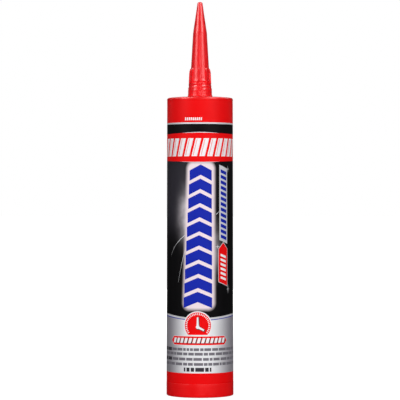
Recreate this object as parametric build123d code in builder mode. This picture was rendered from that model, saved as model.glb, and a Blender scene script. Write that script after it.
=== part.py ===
"""Construction adhesive cartridge for a caulking gun. Millimetres, +Z towards the nozzle, standing on its rear rim."""

import os

from build123d import *

# Barrel: one moulding of tube, shoulder and neck
barrel_length = 221.5
rear_diameter = 50.0
draft_loss = 0.84
rear_wall = 1.7
shoulder_thickness = 2.3
shoulder_corner_radius = 1.1
inner_corner = 1.0
rear_corner = 0.6
bore_lead_in = 0.4
collar_height = 10.0
front_rim_height = 2.0
pad_height = 0.5
pad_width = 2.6

# Neck, measured over the crests of its thread
neck_height = 10.0
neck_radius = 7.3
neck_bore_radius = 4.7
neck_lead_in = 0.6

# Label: one film wrapped round the barrel, with a lap at the back
label_thickness = 0.12
label_sink = 0.08
label_clearance = 0.02
label_end_gap = 0.2
label_lap_degrees = 16.0

# Foil disc on the mouth of the neck
seal_thickness = 0.15
seal_land = 1.5

# Piston: a cup with a wiper lip at each end
piston_height = 19.0
piston_running_clearance = 0.05
lip_height = 1.4
lip_lead_in = 1.2
lip_relief = 0.9
lip_slope = 1.5
piston_wall = 1.5
piston_face_thickness = 1.8
rib_count = 8
rib_thickness = 1.2
rib_height = 9.0
hub_radius = 6.5
hub_wall = 1.3

# Adhesive: 266 ml in this bore
fill_length = 156.0
fill_clearance = 0.1

# Nozzle: cone, fins, threaded skirt and base flange
nozzle_length = 71.7
nozzle_wall = 1.3
nozzle_running_clearance = 0.08
nozzle_seat_gap = 0.1
roof_gap = 0.3
tip_radius = 1.75
tip_round = 1.1
tip_wall = 2.0
tip_cone_length = 23.3
kink_radius = 5.19
cone_draft_degrees = 3.33
skirt_length = 12.0
skirt_wall = 1.0
skirt_draft_degrees = 2.6
collar_step = 0.3
nozzle_collar_length = 7.3
flange_height = 1.4
flange_lip = 0.3
fin_count = 8
fin_rise = 10.2
fin_straight_share = 0.58
fin_crown_rise_share = 0.55
fin_crown_reach_share = 0.69
fin_tip_width = 1.1
fin_root_width = 2.3
fin_start_degrees = 263.8
overrun = 2.0


def taper(run, degrees):
    """The width that a face with this draft gains over a run."""
    return run * (Vector(1, 0).rotate(Axis.Z, degrees).Y / Vector(1, 0).rotate(Axis.Z, degrees).X)


# Places that follow from the sizes above
front_diameter = rear_diameter - draft_loss
bore_diameter = rear_diameter - 2 * rear_wall
rear_radius = rear_diameter / 2
front_radius = front_diameter / 2
bore_radius = bore_diameter / 2
label_top_z = barrel_length - front_rim_height
inner_shoulder_z = barrel_length - shoulder_thickness
neck_top_z = barrel_length + neck_height
seal_top_z = neck_top_z + seal_thickness
piston_front_z = inner_shoulder_z - fill_length
piston_rear_z = piston_front_z - piston_height
recess = label_sink + label_thickness + label_clearance
pad_radius = neck_radius + pad_width
pad_top_z = barrel_length + pad_height


def barrel_radius(z):
    """Outer radius of the barrel in front of its rear collar, where the mould's draft narrows it."""
    forward_share = (z - collar_height) / (barrel_length - collar_height)
    return rear_radius + (front_radius - rear_radius) * forward_share


# Barrel: the outside is turned, with a shallow recess for the label and a pad that the nozzle seats on,
# and the bore is cut from it
with BuildPart() as barrel:
    with BuildSketch(Plane.XZ):
        with BuildLine():
            Polyline(
                (0, 0),
                (rear_radius, 0),
                (rear_radius, collar_height),
                (rear_radius - recess, collar_height),
                (barrel_radius(label_top_z) - recess, label_top_z),
                (barrel_radius(label_top_z), label_top_z),
                (front_radius, barrel_length),
                (pad_radius, barrel_length),
                (pad_radius, pad_top_z),
                (neck_radius, pad_top_z),
                (neck_radius, neck_top_z),
                (0, neck_top_z),
                close=True,
            )
        make_face()
    revolve(axis=Axis.Z)
    with BuildSketch(Plane.XZ):
        with BuildLine():
            Polyline(
                (0, 0),
                (bore_radius, 0),
                (bore_radius, inner_shoulder_z),
                (neck_bore_radius, inner_shoulder_z),
                (neck_bore_radius, neck_top_z),
                (0, neck_top_z),
                close=True,
            )
        make_face()
    revolve(axis=Axis.Z, mode=Mode.SUBTRACT)
    rims = barrel.edges().filter_by(GeomType.CIRCLE)
    at_rear = rims.filter_by_position(Axis.Z, 0, 0).sort_by(SortBy.RADIUS)
    at_shoulder = rims.filter_by_position(Axis.Z, barrel_length, barrel_length).sort_by(SortBy.RADIUS)
    at_mouth = rims.filter_by_position(Axis.Z, neck_top_z, neck_top_z).sort_by(SortBy.RADIUS)
    at_inner_shoulder = rims.filter_by_position(Axis.Z, inner_shoulder_z, inner_shoulder_z)
    chamfer(at_rear[-1], length=rear_corner)
    chamfer(at_rear[0], length=bore_lead_in)
    fillet(at_shoulder[-1], radius=shoulder_corner_radius)
    chamfer(at_inner_shoulder.sort_by(SortBy.RADIUS)[-1], length=inner_corner)
    chamfer(at_mouth[-1], length=neck_lead_in)
barrel.part.label = "barrel"

# Label: a closed sleeve in the recess, and the lap on top of it at the back
label_bottom_z = collar_height + label_end_gap
label_end_z = label_top_z - label_end_gap
label_inner_offset = label_clearance - recess


def film_section(lift):
    """Outline of the film in section, standing lift millimetres off its seat."""
    low = barrel_radius(label_bottom_z) + label_inner_offset + lift
    high = barrel_radius(label_end_z) + label_inner_offset + lift
    return [
        (low, label_bottom_z),
        (low + label_thickness, label_bottom_z),
        (high + label_thickness, label_end_z),
        (high, label_end_z),
    ]


with BuildPart() as label:
    with BuildSketch(Plane.XZ):
        with BuildLine():
            Polyline(*film_section(0), close=True)
        make_face()
    revolve(axis=Axis.Z)
    with BuildSketch(Plane.YZ):
        with BuildLine():
            Polyline(*film_section(label_thickness), close=True)
        make_face()
    revolve(axis=Axis.Z, revolution_arc=label_lap_degrees)
label.part.label = "label"

# Foil disc, sealed to the mouth of the neck
seal_radius = neck_bore_radius + seal_land
with BuildPart() as neck_seal:
    with BuildSketch(Plane.XY.offset(neck_top_z)):
        Circle(seal_radius)
    extrude(amount=seal_thickness)
neck_seal.part.label = "neck_seal"

# Piston: a turned cup with two wiper lips, then ribs and a hub ring behind its face
lip_radius = bore_radius - piston_running_clearance
waist_radius = lip_radius - lip_relief
cup_radius = waist_radius - piston_wall
face_back_z = piston_front_z - piston_face_thickness
front_lip_z = piston_front_z - lip_lead_in
with BuildPart() as piston:
    with BuildSketch(Plane.XZ):
        with BuildLine():
            Polyline(
                (0, piston_front_z),
                (lip_radius - lip_lead_in, piston_front_z),
                (lip_radius, front_lip_z),
                (lip_radius, front_lip_z - lip_height),
                (waist_radius, front_lip_z - lip_height - lip_slope),
                (waist_radius, piston_rear_z + lip_height + lip_slope),
                (lip_radius, piston_rear_z + lip_height),
                (lip_radius, piston_rear_z),
                (cup_radius, piston_rear_z),
                (cup_radius, face_back_z),
                (0, face_back_z),
                close=True,
            )
        make_face()
    revolve(axis=Axis.Z)
    with BuildSketch(Plane.XY.offset(face_back_z - rib_height)):
        rib_length = cup_radius - hub_radius + hub_wall
        with PolarLocations(cup_radius - rib_length / 2 + hub_wall / 2, rib_count):
            Rectangle(rib_length, rib_thickness)
        Circle(hub_radius)
        Circle(hub_radius - hub_wall, mode=Mode.SUBTRACT)
    extrude(amount=rib_height)
piston.part.label = "piston"

# Adhesive: fills the bore from the piston to the shoulder, and the neck up to its seal
with BuildPart() as adhesive:
    with BuildSketch(Plane.XZ):
        with BuildLine():
            Polyline(
                (0, piston_front_z + fill_clearance),
                (bore_radius - fill_clearance, piston_front_z + fill_clearance),
                (bore_radius - fill_clearance, inner_shoulder_z - fill_clearance),
                (neck_bore_radius - fill_clearance, inner_shoulder_z - fill_clearance),
                (neck_bore_radius - fill_clearance, neck_top_z - fill_clearance),
                (0, neck_top_z - fill_clearance),
                close=True,
            )
        make_face()
    revolve(axis=Axis.Z)
    fill_rims = adhesive.edges().filter_by(GeomType.CIRCLE)
    front_rim = fill_rims.group_by(Axis.Z)[1].sort_by(SortBy.RADIUS)[-1]
    chamfer(front_rim, length=inner_corner)
adhesive.part.label = "adhesive"

# Nozzle: outline of the cone, of the fins' envelope over it, and of the channel inside
nozzle_base_z = pad_top_z + nozzle_seat_gap
tip_z = barrel_length + nozzle_length
kink_z = tip_z - tip_cone_length
ledge_z = barrel_length + skirt_length
fin_top_z = ledge_z + fin_rise
fin_bend_z = ledge_z + fin_rise * fin_straight_share
collar_top_z = barrel_length + nozzle_collar_length
roof_z = seal_top_z + roof_gap
thread_bore_radius = neck_radius + nozzle_running_clearance


def cone_radius(z):
    """Outer radius of the long cone between the ledge and the kink."""
    return kink_radius + taper(kink_z - z, cone_draft_degrees)


def skirt_radius(z):
    """Outer radius of the threaded skirt, which the fins' outer edges carry on."""
    return thread_bore_radius + skirt_wall + taper(ledge_z - z, skirt_draft_degrees)


fin_crown_z = fin_bend_z + (fin_top_z - fin_bend_z) * fin_crown_rise_share
fin_crown_reach = skirt_radius(fin_bend_z) - cone_radius(fin_top_z)
fin_crown_radius = cone_radius(fin_top_z) + fin_crown_reach * fin_crown_reach_share
collar_radius = skirt_radius(collar_top_z) + collar_step
flange_radius = collar_radius + flange_lip
flange_top_z = nozzle_base_z + flange_height

# What is cut from between the fins: a ring outside the cone, less eight tapered fins
with BuildPart() as flutes:
    with BuildSketch(Plane.XZ):
        with BuildLine():
            Polyline(
                (cone_radius(ledge_z), ledge_z),
                (skirt_radius(ledge_z) + overrun, ledge_z),
                (skirt_radius(ledge_z) + overrun, fin_top_z),
                (cone_radius(fin_top_z), fin_top_z),
                close=True,
            )
        make_face()
    revolve(axis=Axis.Z)
    with BuildSketch(Plane.XY.offset(ledge_z)):
        with PolarLocations(0, fin_count, start_angle=fin_start_degrees):
            Polygon(
                (0, fin_root_width / 2),
                (cone_radius(fin_top_z), fin_root_width / 2),
                (skirt_radius(fin_bend_z), fin_tip_width / 2),
                (skirt_radius(ledge_z) + 2 * overrun, fin_tip_width / 2),
                (skirt_radius(ledge_z) + 2 * overrun, -fin_tip_width / 2),
                (skirt_radius(fin_bend_z), -fin_tip_width / 2),
                (cone_radius(fin_top_z), -fin_root_width / 2),
                (0, -fin_root_width / 2),
                align=None,
            )
    extrude(amount=fin_rise, mode=Mode.SUBTRACT)

with BuildPart() as nozzle:
    with BuildSketch(Plane.XZ):
        with BuildLine():
            foot = Polyline(
                (0, nozzle_base_z),
                (flange_radius, nozzle_base_z),
                (flange_radius, flange_top_z),
                (collar_radius, flange_top_z + flange_lip),
                (collar_radius, collar_top_z),
                (skirt_radius(collar_top_z), collar_top_z + collar_step),
                (skirt_radius(fin_bend_z), fin_bend_z),
            )
            crown = ThreePointArc(
                foot @ 1,
                (fin_crown_radius, fin_crown_z),
                (cone_radius(fin_top_z), fin_top_z),
            )
            Polyline(crown @ 1, (kink_radius, kink_z), (tip_radius, tip_z), (0, tip_z), foot @ 0)
        make_face()
    revolve(axis=Axis.Z)
    add(flutes.part, mode=Mode.SUBTRACT)
    tip_edge = nozzle.edges().filter_by(GeomType.CIRCLE).sort_by(Axis.Z)[-1]
    fillet(tip_edge, radius=tip_round)
    with BuildSketch(Plane.XZ):
        with BuildLine():
            Polyline(
                (0, nozzle_base_z),
                (thread_bore_radius, nozzle_base_z),
                (thread_bore_radius, roof_z),
                (cone_radius(ledge_z) - nozzle_wall, roof_z),
                (cone_radius(ledge_z) - nozzle_wall, ledge_z),
                (kink_radius - nozzle_wall, kink_z),
                (tip_radius - nozzle_wall, tip_z - tip_wall),
                (0, tip_z - tip_wall),
                close=True,
            )
        make_face()
    revolve(axis=Axis.Z, mode=Mode.SUBTRACT)
nozzle.part.label = "nozzle"

os.makedirs("parts", exist_ok=True)
export_step(barrel.part, "parts/barrel.step")
export_step(label.part, "parts/label.step")
export_step(neck_seal.part, "parts/neck_seal.step")
export_step(piston.part, "parts/piston.step")
export_step(adhesive.part, "parts/adhesive.step")
export_step(nozzle.part, "parts/nozzle.step")
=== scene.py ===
"""Looks of the adhesive cartridge: moulded plastics, printed film, foil, paste, studio and camera."""

import logging
import math
import random
from collections.abc import Callable, Sequence
from dataclasses import dataclass, field
from enum import Enum

import bmesh
import bpy
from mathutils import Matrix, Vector


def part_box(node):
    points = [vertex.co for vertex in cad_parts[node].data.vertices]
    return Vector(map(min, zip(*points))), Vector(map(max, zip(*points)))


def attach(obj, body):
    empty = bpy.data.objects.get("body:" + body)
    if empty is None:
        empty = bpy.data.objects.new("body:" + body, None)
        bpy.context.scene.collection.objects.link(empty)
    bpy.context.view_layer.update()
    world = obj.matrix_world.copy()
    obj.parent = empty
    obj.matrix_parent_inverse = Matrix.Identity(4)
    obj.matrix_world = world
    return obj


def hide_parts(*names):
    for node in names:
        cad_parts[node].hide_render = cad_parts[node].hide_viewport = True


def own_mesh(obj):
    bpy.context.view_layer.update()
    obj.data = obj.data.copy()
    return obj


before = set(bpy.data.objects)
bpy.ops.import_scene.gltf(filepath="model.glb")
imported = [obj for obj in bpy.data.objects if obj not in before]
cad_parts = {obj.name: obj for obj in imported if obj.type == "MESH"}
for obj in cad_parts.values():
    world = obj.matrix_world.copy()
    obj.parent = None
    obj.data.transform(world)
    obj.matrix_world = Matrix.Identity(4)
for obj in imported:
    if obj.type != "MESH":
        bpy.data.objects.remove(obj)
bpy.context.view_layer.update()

MM = 0.001
TURN = 2 * math.pi
MERGE_DISTANCE = 0.0008 * MM
SMOOTH_ANGLE = math.radians(32)
# Spacing of a wave texture's diagonal bands at a scale of one, square to the bands
DIAGONAL_BANDS = TURN / 10 / math.sqrt(2)

Point = tuple[float, float]
Corner = tuple[float, float, float]
Outline = Sequence[Point]
# Gives a point's new radius from its radius, height and turn, in millimetres and radians
RadiusAt = Callable[[float, float, float], float]

log = logging.getLogger("cartridge")


class Slot(Enum):
    """Material slots of the record."""

    BARREL = "barrel_plastic"
    LABEL = "label_film"
    FOIL = "seal_foil"
    PISTON = "piston_plastic"
    PASTE = "adhesive_paste"
    NOZZLE = "nozzle_plastic"


def top(node: str) -> float:
    """Height of a solid's highest point, in millimetres."""
    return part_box(node)[1].z / MM


def bottom(node: str) -> float:
    """Height of a solid's lowest point, in millimetres."""
    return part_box(node)[0].z / MM


def reach(node: str) -> float:
    """Radius of a turned solid, in millimetres."""
    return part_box(node)[1].x / MM


def taper(run: float, degrees: float) -> float:
    """Width that a drafted face gains over a run."""
    return run * math.tan(math.radians(degrees))


def smooth_step(share: float) -> float:
    """Eases a share between its limits of zero and one."""
    share = min(max(share, 0.0), 1.0)
    return share * share * (3 - 2 * share)


def linear(code: str) -> tuple[float, float, float, float]:
    """Turns an sRGB hex colour into linear light.

    Args:
        code: Six hex digits, such as "E01218".

    Returns:
        Red, green, blue and an alpha of one.
    """
    shares = [int(code[i : i + 2], 16) / 255 for i in (0, 2, 4)]
    light = [s / 12.92 if s <= 0.04045 else ((s + 0.055) / 1.055) ** 2.4 for s in shares]
    return (*light, 1.0)


def add_node(tree: bpy.types.NodeTree, kind: str, settings: dict, inputs: dict) -> bpy.types.Node:
    """Adds a shader node with its settings and links.

    Args:
        tree: The material's node tree.
        kind: The node's Blender type.
        settings: Properties to set on the node.
        inputs: Socket names or numbers, each with a value or with the socket that feeds it.

    Returns:
        The new node.
    """
    node = tree.nodes.new(kind)
    for name, value in settings.items():
        setattr(node, name, value)
    for name, value in inputs.items():
        if isinstance(value, bpy.types.NodeSocket):
            tree.links.new(value, node.inputs[name])
        else:
            node.inputs[name].default_value = value
    return node


def new_material(name: str) -> tuple[bpy.types.Material, bpy.types.NodeTree, bpy.types.Node]:
    """Starts a node material.

    Args:
        name: The finish it shows, in a maker's words.

    Returns:
        The material, its tree and its shader.
    """
    material = bpy.data.materials.new(name)
    material.use_nodes = True
    tree = material.node_tree
    return material, tree, tree.nodes["Principled BSDF"]


def unevenness(tree: bpy.types.NodeTree, patch_mm: float, detail: float) -> bpy.types.NodeSocket:
    """Adds unevenness whose patches have a real size, on the piece's own coordinates.

    Args:
        tree: The material's node tree.
        patch_mm: Size of one patch.
        detail: Octaves of finer patches in it.

    Returns:
        Its value, from zero to one.
    """
    place = add_node(tree, "ShaderNodeTexCoord", {}, {}).outputs["Object"]
    inputs = {"Vector": place, "Scale": 1 / (patch_mm * MM), "Detail": detail}
    return add_node(tree, "ShaderNodeTexNoise", {}, inputs).outputs["Fac"]


def dent(
    tree: bpy.types.NodeTree, shader: bpy.types.Node, relief: bpy.types.NodeSocket, depth_mm: float
) -> None:
    """Gives a shader a fine relief of a real depth.

    Args:
        tree: The material's node tree.
        shader: The shader that gets it.
        relief: The relief's height, from zero to one.
        depth_mm: How deep the relief is between zero and one.
    """
    inputs = {"Height": relief, "Distance": depth_mm * MM, "Strength": 1.0}
    dented = add_node(tree, "ShaderNodeBump", {}, inputs).outputs["Normal"]
    tree.links.new(dented, shader.inputs["Normal"])


@dataclass(frozen=True)
class MouldedPlastic:
    """Injection-moulded polyethylene: a waxy skin with a faint orange peel left by the steel."""

    name: str
    deep: str
    bright: str
    roughness: float
    gloss: float
    peel_mm: float = 1.1
    peel_depth_mm: float = 0.006
    peel_detail: float = 2.0
    clouding_mm: float = 16.0
    clouding_detail: float = 3.0
    clouded_roughness_share: float = 0.1
    ior: float = 1.51
    glow: float = 0.0
    glow_mm: float = 1.5
    glow_reach: tuple[float, float, float] = (1.0, 0.3, 0.25)

    def material(self) -> bpy.types.Material:
        """Builds the node material.

        Returns:
            The new material.
        """
        made, tree, shader = new_material(self.name)
        cloud = unevenness(tree, self.clouding_mm, self.clouding_detail)
        colours = {"Factor": cloud, "A": linear(self.deep), "B": linear(self.bright)}
        tint = add_node(tree, "ShaderNodeMix", {"data_type": "RGBA"}, colours)
        tree.links.new(tint.outputs["Result"], shader.inputs["Base Color"])
        spread = {
            "Value": cloud,
            "To Min": self.roughness * (1 - self.clouded_roughness_share),
            "To Max": self.roughness * (1 + self.clouded_roughness_share),
        }
        rough = add_node(tree, "ShaderNodeMapRange", {}, spread)
        tree.links.new(rough.outputs["Result"], shader.inputs["Roughness"])
        dent(tree, shader, unevenness(tree, self.peel_mm, self.peel_detail), self.peel_depth_mm)
        shader.inputs["IOR"].default_value = self.ior
        shader.inputs["Specular IOR Level"].default_value = self.gloss
        shader.inputs["Subsurface Weight"].default_value = self.glow
        shader.inputs["Subsurface Radius"].default_value = self.glow_reach
        shader.inputs["Subsurface Scale"].default_value = self.glow_mm * MM
        return made


@dataclass(frozen=True)
class PrintedFilm:
    """Gravure ink under a satin laminate: an even field of colour with a faint press mottle."""

    name: str
    ink: str
    roughness: float = 0.46
    gloss: float = 0.1
    ior: float = 1.5
    metal: float = 0.0
    mottle_share: float = 0.06
    mottle_mm: float = 3.0
    mottle_detail: float = 4.0
    waver_mm: float = 9.0
    waver_depth_mm: float = 0.012
    waver_detail: float = 1.0

    def colour(self, tree: bpy.types.NodeTree) -> bpy.types.NodeSocket:
        """Adds the nodes of the printed colour.

        Args:
            tree: The material's node tree.

        Returns:
            The colour's socket.
        """
        base = linear(self.ink)
        worn = (*(c * (1 - self.mottle_share) for c in base[:3]), 1.0)
        mottle = unevenness(tree, self.mottle_mm, self.mottle_detail)
        inputs = {"Factor": mottle, "A": worn, "B": base}
        return add_node(tree, "ShaderNodeMix", {"data_type": "RGBA"}, inputs).outputs["Result"]

    def material(self) -> bpy.types.Material:
        """Builds the node material.

        Returns:
            The new material.
        """
        made, tree, shader = new_material(self.name)
        tree.links.new(self.colour(tree), shader.inputs["Base Color"])
        dent(tree, shader, unevenness(tree, self.waver_mm, self.waver_detail), self.waver_depth_mm)
        shader.inputs["Metallic"].default_value = self.metal
        shader.inputs["Roughness"].default_value = self.roughness
        if self.metal == 0:
            shader.inputs["IOR"].default_value = self.ior
            shader.inputs["Specular IOR Level"].default_value = self.gloss
        return made


def flat_place(tree: bpy.types.NodeTree) -> bpy.types.NodeSocket:
    """Adds the film's flat coordinates in millimetres: along the wrap, and up the barrel.

    Args:
        tree: The material's node tree.

    Returns:
        The coordinates' socket.
    """
    flat = add_node(tree, "ShaderNodeUVMap", {"uv_map": "print"}, {}).outputs["UV"]
    scale = (1 / MM, 1 / MM, 1.0)
    return add_node(tree, "ShaderNodeMapping", {}, {"Vector": flat, "Scale": scale}).outputs["Vector"]


@dataclass(frozen=True)
class Puff:
    """An oval of soft light on the film: thickest in its middle, gone at its edge."""

    centre: Point
    half: Point
    power: float
    strength: float


@dataclass(frozen=True)
class GlowPanel(PrintedFilm):
    """The black panel: a pale halo round its column of arrows, and a smoky light beside it."""

    halo: str = "ECDCE1"
    halo_centre: Point = (-0.1, 119.0)
    halo_half: Point = (12.1, 54.2)
    halo_top_share: float = 0.86
    halo_lean: float = 0.9
    halo_corner: float = 5.0
    halo_fade: float = 1.9
    smoke: str = "E2DAE0"
    puffs: tuple[Puff, ...] = (
        Puff((-9.0, 134.0), (21.0, 46.0), 4.0, 1.0),
        Puff((8.5, 109.0), (13.0, 34.0), 1.5, 0.5),
    )
    wisp_mm: float = 9.0
    wisp_detail: float = 3.0
    full_wisp: float = 0.62
    haze: str = "2C2A31"
    haze_centre: Point = (-22.0, 152.0)
    haze_half: Point = (34.0, 42.0)
    full_haze_share: float = 0.3

    def colour(self, tree: bpy.types.NodeTree) -> bpy.types.NodeSocket:
        """Adds the nodes of the black field, its haze, its smoke and its halo.

        Args:
            tree: The material's node tree.

        Returns:
            The colour's socket.
        """
        flat = flat_place(tree)
        in_haze = self.reach(tree, flat, self.haze_centre, self.haze_half)
        hazy = self.fade(tree, in_haze, 1.0, self.full_haze_share)
        mixed = self.print_over(tree, super().colour(tree), hazy, self.haze)
        grain = unevenness(tree, self.wisp_mm, self.wisp_detail)
        for puff in self.puffs:
            near = self.fade(tree, self.reach(tree, flat, puff.centre, puff.half), 1.0, 0.0)
            inputs = {0: near, 1: puff.power}
            thick = add_node(tree, "ShaderNodeMath", {"operation": "POWER"}, inputs).outputs["Value"]
            inputs = {"Value": grain, "From Max": self.full_wisp, "To Max": puff.strength}
            wisps = add_node(tree, "ShaderNodeMapRange", {}, inputs).outputs["Result"]
            inputs = {0: thick, 1: wisps}
            smoky = add_node(tree, "ShaderNodeMath", {"operation": "MULTIPLY"}, inputs).outputs["Value"]
            mixed = self.print_over(tree, mixed, smoky, self.smoke)
        haloed = self.fade(tree, self.distance_to_halo(tree, flat), self.halo_fade, -self.halo_fade)
        return self.print_over(tree, mixed, haloed, self.halo)

    def print_over(
        self,
        tree: bpy.types.NodeTree,
        below: bpy.types.NodeSocket,
        share: bpy.types.NodeSocket,
        ink: str,
    ) -> bpy.types.NodeSocket:
        """Prints an ink over a colour.

        Args:
            tree: The material's node tree.
            below: The colour it is printed on.
            share: How much of it there is.
            ink: Its own colour.

        Returns:
            The mixed colour.
        """
        inputs = {"Factor": share, "A": below, "B": linear(ink)}
        return add_node(tree, "ShaderNodeMix", {"data_type": "RGBA"}, inputs).outputs["Result"]

    def reach(
        self, tree: bpy.types.NodeTree, flat: bpy.types.NodeSocket, centre: Point, half: Point
    ) -> bpy.types.NodeSocket:
        """Adds the distance from the middle of an oval, which is one on its edge.

        Args:
            tree: The material's node tree.
            flat: The film's flat coordinates.
            centre: The oval's middle.
            half: Half its width and half its height.

        Returns:
            The distance's socket.
        """
        inputs = {0: flat, 1: (*centre, 0.0)}
        apart = add_node(tree, "ShaderNodeVectorMath", {"operation": "SUBTRACT"}, inputs)
        inputs = {0: apart.outputs["Vector"], 1: (1 / half[0], 1 / half[1], 0.0)}
        scaled = add_node(tree, "ShaderNodeVectorMath", {"operation": "MULTIPLY"}, inputs)
        inputs = {0: scaled.outputs["Vector"]}
        return add_node(tree, "ShaderNodeVectorMath", {"operation": "LENGTH"}, inputs).outputs["Value"]

    def distance_to_halo(
        self, tree: bpy.types.NodeTree, flat: bpy.types.NodeSocket
    ) -> bpy.types.NodeSocket:
        """Adds the distance to the halo's rounded edge; the halo narrows and leans towards its top.

        Args:
            tree: The material's node tree.
            flat: The film's flat coordinates.

        Returns:
            The distance's socket, zero on the edge.
        """
        inputs = {0: flat, 1: (*self.halo_centre, 0.0)}
        apart = add_node(tree, "ShaderNodeVectorMath", {"operation": "SUBTRACT"}, inputs)
        parts = add_node(tree, "ShaderNodeSeparateXYZ", {}, {"Vector": apart.outputs["Vector"]}).outputs
        rise = {
            "Value": parts["Y"],
            "From Min": -self.halo_half[1],
            "From Max": self.halo_half[1],
        }
        inputs = {**rise, "To Min": 1.0, "To Max": self.halo_top_share}
        narrow = add_node(tree, "ShaderNodeMapRange", {}, inputs)
        inputs = {**rise, "To Min": self.halo_lean, "To Max": -self.halo_lean}
        leaning = add_node(tree, "ShaderNodeMapRange", {}, inputs)
        inputs = {0: parts["X"], 1: leaning.outputs["Result"]}
        upright = add_node(tree, "ShaderNodeMath", {"operation": "ADD"}, inputs)
        inputs = {0: upright.outputs["Value"], 1: narrow.outputs["Result"]}
        widened = add_node(tree, "ShaderNodeMath", {"operation": "DIVIDE"}, inputs)
        inputs = {"X": widened.outputs["Value"], "Y": parts["Y"]}
        level = add_node(tree, "ShaderNodeCombineXYZ", {}, inputs)
        inputs = {0: level.outputs["Vector"]}
        size = add_node(tree, "ShaderNodeVectorMath", {"operation": "ABSOLUTE"}, inputs)
        core = (self.halo_half[0] - self.halo_corner, self.halo_half[1] - self.halo_corner, 0.0)
        inputs = {0: size.outputs["Vector"], 1: core}
        past = add_node(tree, "ShaderNodeVectorMath", {"operation": "SUBTRACT"}, inputs)
        inputs = {0: past.outputs["Vector"], 1: (0.0, 0.0, 0.0)}
        outside = add_node(tree, "ShaderNodeVectorMath", {"operation": "MAXIMUM"}, inputs)
        inputs = {0: outside.outputs["Vector"]}
        length = add_node(tree, "ShaderNodeVectorMath", {"operation": "LENGTH"}, inputs)
        inputs = {0: length.outputs["Value"], 1: self.halo_corner}
        return add_node(tree, "ShaderNodeMath", {"operation": "SUBTRACT"}, inputs).outputs["Value"]

    def fade(
        self, tree: bpy.types.NodeTree, value: bpy.types.NodeSocket, gone: float, full: float
    ) -> bpy.types.NodeSocket:
        """Adds a soft fall from one to zero.

        Args:
            tree: The material's node tree.
            value: What it falls with.
            gone: The value at which nothing is left.
            full: The value up to which it is whole.

        Returns:
            The share that is left.
        """
        inputs = {"Value": value, "From Min": gone, "From Max": full}
        fall = add_node(tree, "ShaderNodeMapRange", {"interpolation_type": "SMOOTHSTEP"}, inputs)
        return fall.outputs["Result"]


@dataclass(frozen=True)
class SilverPanelWithPaintedShade(PrintedFilm):
    """The silver panel: metallic ink with painted shade, bright at the front and darker towards the
    sides.
    """

    # Painted shade: the grey that the silver turns to at the sides
    painted_shade_colour: str = "9A979F"
    painted_shade_start_turn: float = 0.30
    painted_shade_full_turn: float = 1.15
    wrap_radius: float = 24.7

    def colour(self, tree: bpy.types.NodeTree) -> bpy.types.NodeSocket:
        """Adds the nodes of the silver, with painted shade that darkens it towards the sides.

        Args:
            tree: The material's node tree.

        Returns:
            The colour's socket.
        """
        parts = add_node(tree, "ShaderNodeSeparateXYZ", {}, {"Vector": flat_place(tree)})
        inputs = {0: parts.outputs["X"]}
        aside = add_node(tree, "ShaderNodeMath", {"operation": "ABSOLUTE"}, inputs)
        # Painted shade: the further a point is from the front centre, the more of the side grey it gets
        inputs = {
            "Value": aside.outputs["Value"],
            "From Min": self.painted_shade_start_turn * self.wrap_radius,
            "From Max": self.painted_shade_full_turn * self.wrap_radius,
        }
        shade = add_node(tree, "ShaderNodeMapRange", {"interpolation_type": "SMOOTHSTEP"}, inputs)
        inputs = {"Factor": shade.outputs["Result"], "A": super().colour(tree), "B": linear(self.painted_shade_colour)}
        return add_node(tree, "ShaderNodeMix", {"data_type": "RGBA"}, inputs).outputs["Result"]


@dataclass(frozen=True)
class RolledFoil:
    """Aluminium foil with a plastic seal coat, pressed by the sealing head's fine knurl."""

    name: str = "rolled_aluminium_foil"
    colour: str = "D9DADB"
    roughness: float = 0.32
    knurl_mm: float = 1.0367
    knurl_depth_mm: float = 0.03

    def material(self) -> bpy.types.Material:
        """Builds the node material.

        Returns:
            The new material.
        """
        made, tree, shader = new_material(self.name)
        shader.inputs["Base Color"].default_value = linear(self.colour)
        shader.inputs["Metallic"].default_value = 1.0
        shader.inputs["Roughness"].default_value = self.roughness
        place = add_node(tree, "ShaderNodeTexCoord", {}, {}).outputs["Object"]
        inputs = {"Vector": place, "Rotation": (0.0, 0.0, TURN / 4)}
        across = add_node(tree, "ShaderNodeMapping", {}, inputs).outputs["Vector"]
        wave = {"wave_type": "BANDS", "bands_direction": "DIAGONAL"}
        scale = DIAGONAL_BANDS / (self.knurl_mm * MM)
        ridges = [
            add_node(tree, "ShaderNodeTexWave", wave, {"Vector": way, "Scale": scale}).outputs["Fac"]
            for way in (place, across)
        ]
        inputs = {0: ridges[0], 1: ridges[1]}
        knurl = add_node(tree, "ShaderNodeMath", {"operation": "MULTIPLY"}, inputs)
        dent(tree, shader, knurl.outputs["Value"], self.knurl_depth_mm)
        return made


@dataclass(frozen=True)
class Paste:
    """Off-white adhesive: a thick, filled paste with a damp sheen and small folds."""

    name: str = "filled_adhesive_paste"
    colour: str = "E9E5DA"
    roughness: float = 0.42
    ior: float = 1.5
    fold_mm: float = 5.0
    fold_depth_mm: float = 0.2
    fold_detail: float = 2.0
    shade_share: float = 0.1
    shade_detail: float = 3.0

    def material(self) -> bpy.types.Material:
        """Builds the node material.

        Returns:
            The new material.
        """
        made, tree, shader = new_material(self.name)
        base = linear(self.colour)
        dull = (*(c * (1 - self.shade_share) for c in base[:3]), 1.0)
        inputs = {"Factor": unevenness(tree, self.fold_mm, self.shade_detail), "A": dull, "B": base}
        tint = add_node(tree, "ShaderNodeMix", {"data_type": "RGBA"}, inputs)
        tree.links.new(tint.outputs["Result"], shader.inputs["Base Color"])
        shader.inputs["IOR"].default_value = self.ior
        shader.inputs["Roughness"].default_value = self.roughness
        dent(tree, shader, unevenness(tree, self.fold_mm, self.fold_detail), self.fold_depth_mm)
        return made


# High-density polyethylene, moulded: satin, so that lamps show on it as soft, wide streaks
BARREL_PLASTIC = MouldedPlastic(
    "high_density_polyethylene_moulded_red", "E6080C", "F00A0E", roughness=0.32, gloss=0.36
)
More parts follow.
